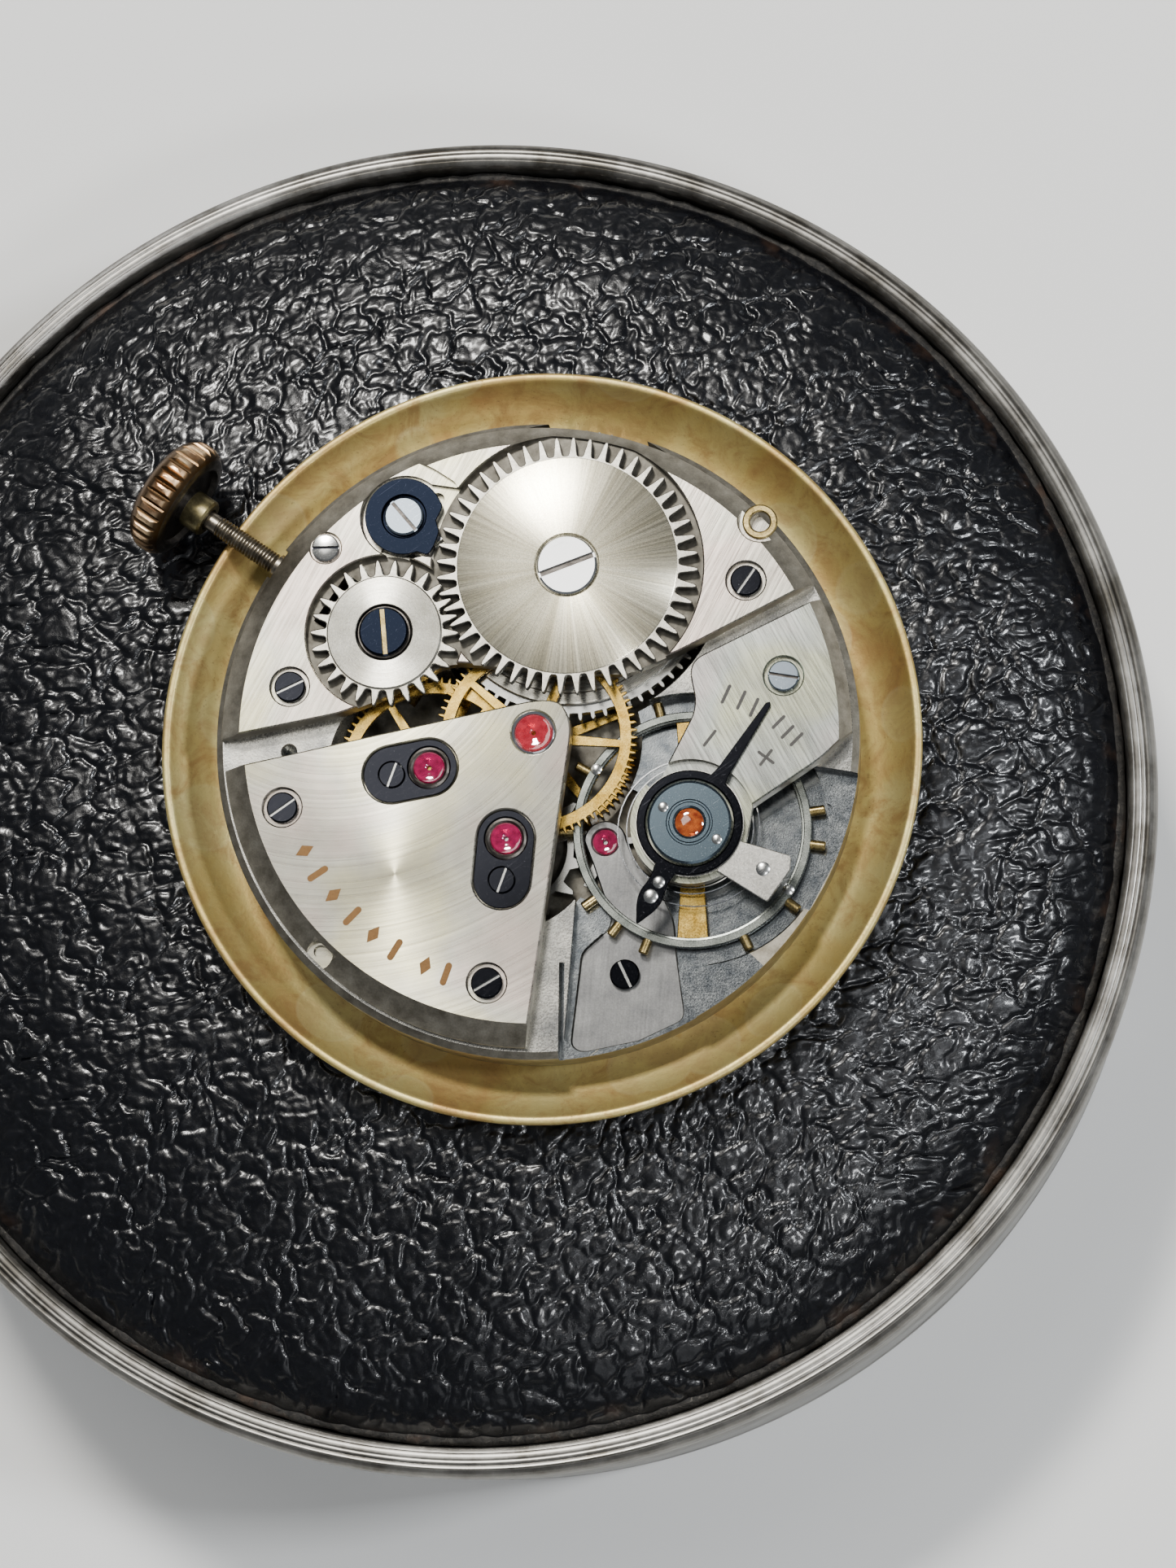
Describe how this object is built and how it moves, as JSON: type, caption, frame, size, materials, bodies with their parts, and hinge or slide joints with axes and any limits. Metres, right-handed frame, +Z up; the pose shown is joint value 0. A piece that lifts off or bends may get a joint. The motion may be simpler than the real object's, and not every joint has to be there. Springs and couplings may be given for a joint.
{
  "type": "watch movement holder",
  "caption": "Round leather-covered pad in a turned steel ring, holding a hand-wound watch movement dial down, with its winding, gear train, escapement and balance.",
  "frame": {"origin": "centre of the base plate's underside", "axes": "+Z up out of the pad; +X to the balance side of the movement; +Y towards the ratchet wheel"},
  "size_m": [0.056, 0.056, 0.022],
  "materials": {
    "ring_steel": "turned, tarnished",
    "base_steel": "satin",
    "pad_felt": "pressed felt",
    "black_leather": "crinkled, polished by use",
    "dial_brass": "stained and matt",
    "nickel": "nickel plated, brushed",
    "grey_nickel": "grey, grained",
    "gilt_brass": "gilt",
    "worn_gold": "worn gold plate",
    "polished_steel": "polished",
    "blued_steel": "blued and black polished",
    "dark_steel": "oiled",
    "scratched_steel": "lapped",
    "ruby": "polished",
    "amber": "polished"
  },
  "bodies": {
    "holder": {"rim_ring": "ring_steel", "base_plate": "base_steel", "pad_core": "pad_felt", "leather_cover": "black_leather"},
    "movement": {"dial": "dial_brass", "main_plate": "nickel", "barrel_bridge": "nickel", "train_bridge": "nickel", "balance_cock": "nickel", "pallet_bridge": "grey_nickel", "barrel_bridge_screw_left": "blued_steel", "barrel_bridge_screw_right": "blued_steel", "train_bridge_screw_upper": "blued_steel", "train_bridge_screw_lower": "blued_steel", "balance_cock_screw": "blued_steel", "pallet_bridge_screw": "blued_steel", "setting_lever_screw": "blued_steel", "third_cap_plate": "blued_steel", "third_jewel": "ruby", "third_cap_screw": "blued_steel", "escape_cap_plate": "blued_steel", "escape_jewel": "ruby", "escape_cap_screw": "blued_steel", "centre_jewel": "ruby", "pallet_jewel": "ruby", "crown_wheel_core": "polished_steel", "crown_wheel_screw": "blued_steel", "click_screw": "polished_steel", "click_spring": "polished_steel", "hairspring": "blued_steel", "stud_carrier": "polished_steel", "shock_setting": "scratched_steel", "balance_endstone": "amber"},
    "ratchet": {"ratchet_wheel": "nickel", "barrel_arbor": "polished_steel", "ratchet_screw": "polished_steel"},
    "crown_wheel": {"crown_wheel": "nickel"},
    "click": {"click": "blued_steel"},
    "barrel": {"barrel_drum": "gilt_brass", "barrel_cover": "nickel", "mainspring": "polished_steel"},
    "centre": {"centre_wheel": "gilt_brass", "cannon_pinion": "polished_steel"},
    "minute": {"minute_wheel": "gilt_brass"},
    "hour": {"hour_wheel": "gilt_brass"},
    "third": {"third_wheel": "gilt_brass"},
    "fourth": {"fourth_wheel": "gilt_brass"},
    "escape": {"escape_wheel": "polished_steel"},
    "pallets": {"pallet_fork": "polished_steel"},
    "balance": {"balance_wheel": "gilt_brass", "balance_staff": "polished_steel"},
    "regulator": {"regulator": "blued_steel"},
    "pinion": {"winding_pinion": "polished_steel"},
    "clutch": {"clutch_wheel": "polished_steel"},
    "stem": {"winding_stem": "dark_steel", "crown": "worn_gold"},
    "setting_lever": {"setting_lever": "polished_steel"},
    "yoke": {"yoke": "polished_steel"}
  },
  "joints": [
    {"name": "movement_lift", "type": "slide", "parent": "holder", "child": "movement", "axis": [0, 0, 1], "range_m": [0, 0.03]},
    {"name": "crown_turn", "type": "hinge", "parent": "movement", "child": "pinion", "pos_m": [0.00321, 0.00095, 0.0195], "axis": [-0.8211, 0.5707, 0], "continuous": true},
    {"name": "crown_pull", "type": "slide", "parent": "pinion", "child": "stem", "axis": [-0.8211, 0.5707, 0], "range_m": [0, 0.0006]},
    {"name": "clutch_slide", "type": "slide", "parent": "pinion", "child": "clutch", "axis": [-0.8211, 0.5707, 0], "range_m": [-0.00036, 0]},
    {"name": "crown_wheel_turn", "type": "hinge", "parent": "movement", "child": "crown_wheel", "pos_m": [-0.00272, 0.00507, 0.0211], "axis": [0, 0, 1], "continuous": true},
    {"name": "ratchet_turn", "type": "hinge", "parent": "movement", "child": "ratchet", "pos_m": [0.00455, 0.00765, 0.0211], "axis": [0, 0, 1], "continuous": true},
    {"name": "click_swing", "type": "hinge", "parent": "movement", "child": "click", "pos_m": [-0.00198, 0.00978, 0.0197], "axis": [0, 0, 1], "range_deg": [-2, 12], "stiffness_Nm_per_rad": 0.0000005},
    {"name": "barrel_turn", "type": "hinge", "parent": "movement", "child": "barrel", "pos_m": [0.00455, 0.00765, 0.0197], "axis": [0, 0, 1], "continuous": true},
    {"name": "centre_turn", "type": "hinge", "parent": "movement", "child": "centre", "pos_m": [0.00321, 0.00095, 0.0197], "axis": [0, 0, 1], "continuous": true},
    {"name": "minute_turn", "type": "hinge", "parent": "movement", "child": "minute", "pos_m": [-0.00038, 0.00126, 0.018], "axis": [0, 0, 1], "continuous": true},
    {"name": "hour_turn", "type": "hinge", "parent": "movement", "child": "hour", "pos_m": [0.00321, 0.00095, 0.0179], "axis": [0, 0, 1], "continuous": true},
    {"name": "third_turn", "type": "hinge", "parent": "movement", "child": "third", "pos_m": [-0.00092, -0.00038, 0.0197], "axis": [0, 0, 1], "continuous": true},
    {"name": "fourth_turn", "type": "hinge", "parent": "movement", "child": "fourth", "pos_m": [0.00321, 0.00095, 0.0197], "axis": [0, 0, 1], "continuous": true},
    {"name": "escape_turn", "type": "hinge", "parent": "movement", "child": "escape", "pos_m": [0.00215, -0.00325, 0.0197], "axis": [0, 0, 1], "continuous": true},
    {"name": "pallet_swing", "type": "hinge", "parent": "movement", "child": "pallets", "pos_m": [0.0059, -0.00315, 0.0197], "axis": [0, 0, 1], "range_deg": [-5, 5]},
    {"name": "balance_swing", "type": "hinge", "parent": "movement", "child": "balance", "pos_m": [0.00937, -0.00276, 0.0197], "axis": [0, 0, 1], "range_deg": [-270, 270], "stiffness_Nm_per_rad": 0.0000002},
    {"name": "regulator_swing", "type": "hinge", "parent": "movement", "child": "regulator", "pos_m": [0.00937, -0.00276, 0.0197], "axis": [0, 0, 1], "range_deg": [-12, 12]},
    {"name": "setting_lever_turn", "type": "hinge", "parent": "movement", "child": "setting_lever", "pos_m": [-0.00511, 0.00855, 0.0197], "axis": [0, 0, 1], "range_deg": [-23.5, 0]},
    {"name": "yoke_turn", "type": "hinge", "parent": "movement", "child": "yoke", "pos_m": [-0.00498, 0.00178, 0.0197], "axis": [0, 0, 1], "range_deg": [-5.3, 0]}
  ],
  "couplings": [
    {"joint": "crown_wheel_turn", "follows": "crown_turn", "ratio": -0.5},
    {"joint": "ratchet_turn", "follows": "crown_turn", "ratio": 0.27083},
    {"joint": "clutch_slide", "follows": "crown_pull", "ratio": -0.6},
    {"joint": "setting_lever_turn", "follows": "crown_pull", "rad_per_m": -672.5},
    {"joint": "yoke_turn", "follows": "crown_pull", "rad_per_m": -150},
    {"joint": "escape_turn", "follows": "fourth_turn", "ratio": -10},
    {"joint": "third_turn", "follows": "fourth_turn", "ratio": -0.13333},
    {"joint": "centre_turn", "follows": "fourth_turn", "ratio": 0.016667},
    {"joint": "barrel_turn", "follows": "fourth_turn", "ratio": -0.0027778},
    {"joint": "minute_turn", "follows": "fourth_turn", "ratio": -0.0055556},
    {"joint": "hour_turn", "follows": "fourth_turn", "ratio": 0.0013889}
  ]
}
